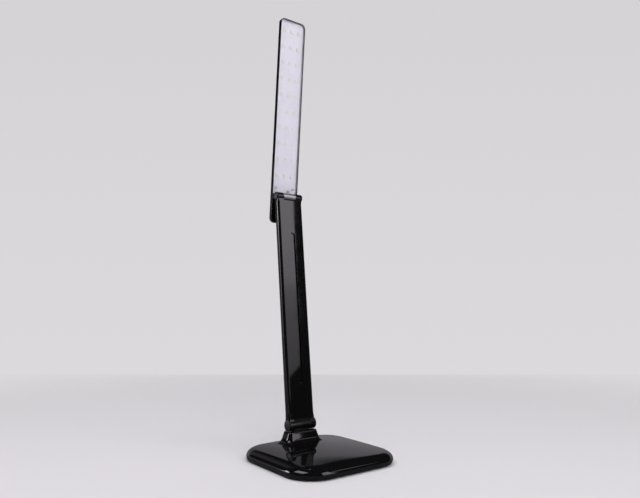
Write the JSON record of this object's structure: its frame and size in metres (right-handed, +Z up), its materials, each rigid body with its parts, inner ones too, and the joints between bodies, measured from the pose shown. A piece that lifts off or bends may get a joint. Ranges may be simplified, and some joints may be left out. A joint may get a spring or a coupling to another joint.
{
  "type": "folding led desk lamp",
  "caption": "Folding LED desk lamp: pillow-shaped square base with a flared neck, slim grooved arm and a long flat light bar on two knuckle hinges.",
  "frame": {"origin": "middle of the base's underside, on the table", "axes": "+Z up; the lights face -Y, the neck stands towards +Y, and both hinges turn about X"},
  "size_m": [0.15, 0.1635, 0.5921],
  "materials": {
    "gloss_black": "polished piano-black plastic",
    "black_plastic": "fine matt moulded plastic",
    "rubber": "fine ribbed grip rubber",
    "foam": "conductive foam",
    "steel": "zinc-plated steel",
    "ballast_grey": "dull primed steel plate",
    "post_black": "black lacquered casting",
    "board_green": "green solder resist",
    "wire": "soft insulation",
    "brass": "plain brass",
    "silver": "satin silver metal",
    "board_white": "white lacquered aluminium board",
    "led_cream": "white package with a yellow phosphor window",
    "clear": "clear acrylic"
  },
  "bodies": {
    "base": {"base_cover": "gloss_black", "base_plate": "black_plastic", "grip_pad": "rubber", "cover_screws": "steel", "ballast": "ballast_grey", "hinge_post": "post_black", "post_screws": "steel", "touch_board": "board_green", "touch_board_screws": "steel", "touch_pads": "foam", "power_board": "board_green", "dc_inlet": "black_plastic", "board_wire": "wire", "supply_wire": "wire"},
    "arm": {"arm_front": "gloss_black", "arm_back": "gloss_black", "arm_screws": "steel", "arm_plugs": "black_plastic", "arm_wire": "wire", "lower_bolt": "steel", "lower_nut": "steel", "lower_washers": "brass", "lower_caps": "gloss_black", "upper_bolt": "steel", "upper_nut": "steel", "upper_washers": "brass", "upper_caps": "gloss_black"},
    "light_bar": {"bar_shell": "gloss_black", "bar_tail_cover": "gloss_black", "hinge_barrel": "silver", "barrel_screws": "steel", "led_board": "board_white", "leds": "led_cream", "led_board_screws": "steel", "led_wires": "wire", "clear_window": "clear"}
  },
  "joints": [
    {"name": "arm_tilt", "type": "hinge", "parent": "base", "child": "arm", "pos_m": [0, 0.04, 0.0376], "axis": [1, 0, 0], "range_deg": [-14, 95]},
    {"name": "bar_fold", "type": "hinge", "parent": "arm", "child": "light_bar", "pos_m": [0, 0.07178, 0.33993], "axis": [1, 0, 0], "range_deg": [-13, 169]}
  ]
}
